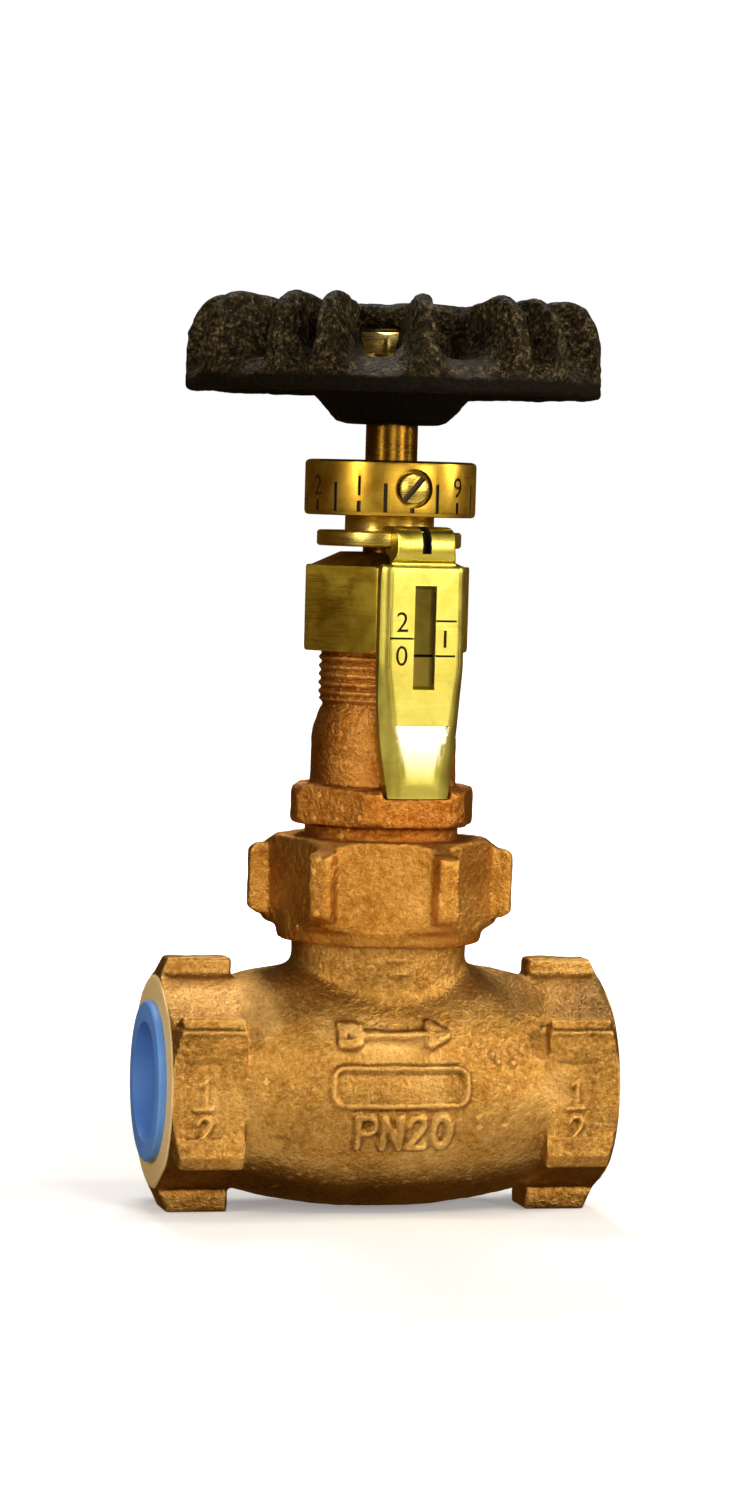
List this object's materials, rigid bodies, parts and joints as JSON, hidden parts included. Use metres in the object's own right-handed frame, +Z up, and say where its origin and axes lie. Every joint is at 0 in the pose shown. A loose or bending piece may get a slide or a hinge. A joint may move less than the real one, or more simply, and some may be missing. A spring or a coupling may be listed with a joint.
{
  "type": "globe valve",
  "caption": "Threaded bronze globe valve with a ribbed finger-grip handwheel, a numbered dial and a sliding indicator that rises with the stem past an engraved scale plate.",
  "frame": {"origin": "centre of the overall box at the surface that the valve stands on, on the stem axis (the thread protector's flange puts the box's middle 0.6 mm to one side)", "axes": "+Z up the stem, +X the flow direction along the pipe run, -Y the side with the scale plate and flow arrow"},
  "size_m": [0.0712, 0.0634, 0.1402],
  "materials": {
    "body_bronze": "as-cast golden bronze",
    "seat_bronze": "turned bronze",
    "union_bronze": "as-cast bronze",
    "bonnet_bronze": "as-cast reddish bronze with machined thread",
    "turned_brass": "turned brass",
    "packing": "graphited braided packing",
    "nut_brass": "milled bar brass",
    "plate_brass": "bright brushed brass",
    "slide_brass": "bright brushed brass",
    "stem_bronze": "turned bronze",
    "plug_bronze": "turned bronze",
    "collar_brass": "turned brass",
    "dial_brass": "turned brass with engraved, darkened figures",
    "screw_brass": "turned brass",
    "wheel_black": "rough casting under gloss black enamel",
    "wheel_nut_brass": "milled brass",
    "blue_plastic": "moulded polyethylene"
  },
  "bodies": {
    "casings": {"valve_body": "body_bronze", "seat_ring": "seat_bronze", "union_nut": "union_bronze", "bonnet": "bonnet_bronze", "packing_washer": "turned_brass", "packing_rings": "packing", "packing_gland": "turned_brass", "packing_nut": "nut_brass", "scale_plate": "plate_brass"},
    "indicator": {"indicator_slide": "slide_brass"},
    "stem_assembly": {"stem": "stem_bronze", "throttle_plug": "plug_bronze", "plug_lock_nut": "turned_brass", "stem_collar": "collar_brass", "dial_ring": "dial_brass", "dial_screw": "screw_brass", "handwheel": "wheel_black", "handwheel_washer": "turned_brass", "handwheel_nut": "wheel_nut_brass"},
    "protector": {"thread_protector": "blue_plastic"}
  },
  "joints": [
    {"name": "stem_lift", "type": "slide", "parent": "casings", "child": "indicator", "axis": [0, 0, 1], "range_m": [0, 0.0068]},
    {"name": "handwheel_turn", "type": "hinge", "parent": "indicator", "child": "stem_assembly", "pos_m": [0, 0, 0.128], "axis": [0, 0, 1], "range_deg": [0, 900]},
    {"name": "protector_pull", "type": "slide", "parent": "casings", "child": "protector", "axis": [-1, 0, 0], "range_m": [0, 0.016]}
  ],
  "couplings": [
    {"joint": "stem_lift", "follows": "handwheel_turn", "m_per_rad": 0.00042972}
  ]
}
